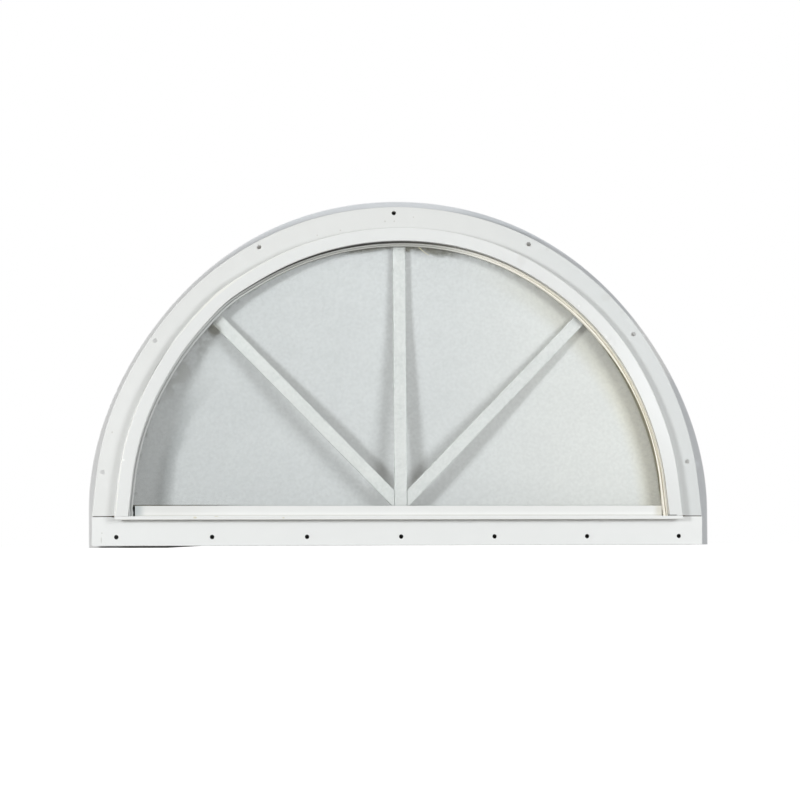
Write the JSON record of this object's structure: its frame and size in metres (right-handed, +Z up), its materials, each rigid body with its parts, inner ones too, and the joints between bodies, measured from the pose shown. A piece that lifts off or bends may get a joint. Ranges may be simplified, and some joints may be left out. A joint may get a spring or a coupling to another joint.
{
  "type": "half-round shed window",
  "caption": "Fixed half-round window with a white screw flange, straight sill with a drip nose, clear pane in a ribbed gasket and bars that fan out from the sill.",
  "frame": {"origin": "centre of the arch on the back face of the flange, where the wall's outer face lies", "axes": "+X to the right and +Z up as seen from outside, +Y into the wall"},
  "size_m": [0.6614, 0.0198, 0.3648],
  "materials": {
    "frame_paint": "white baked paint, satin",
    "bar_paint": "white baked paint, satin",
    "glass": "clear, slightly dusty",
    "gasket": "cream flexible vinyl, matt"
  },
  "bodies": {
    "root": {"arch_frame": "frame_paint", "sill_frame": "frame_paint", "glass_pane": "glass", "arch_gasket": "gasket", "sill_gasket": "gasket", "left_bar": "bar_paint", "vertical_bar": "bar_paint", "right_bar": "bar_paint"}
  },
  "joints": []
}
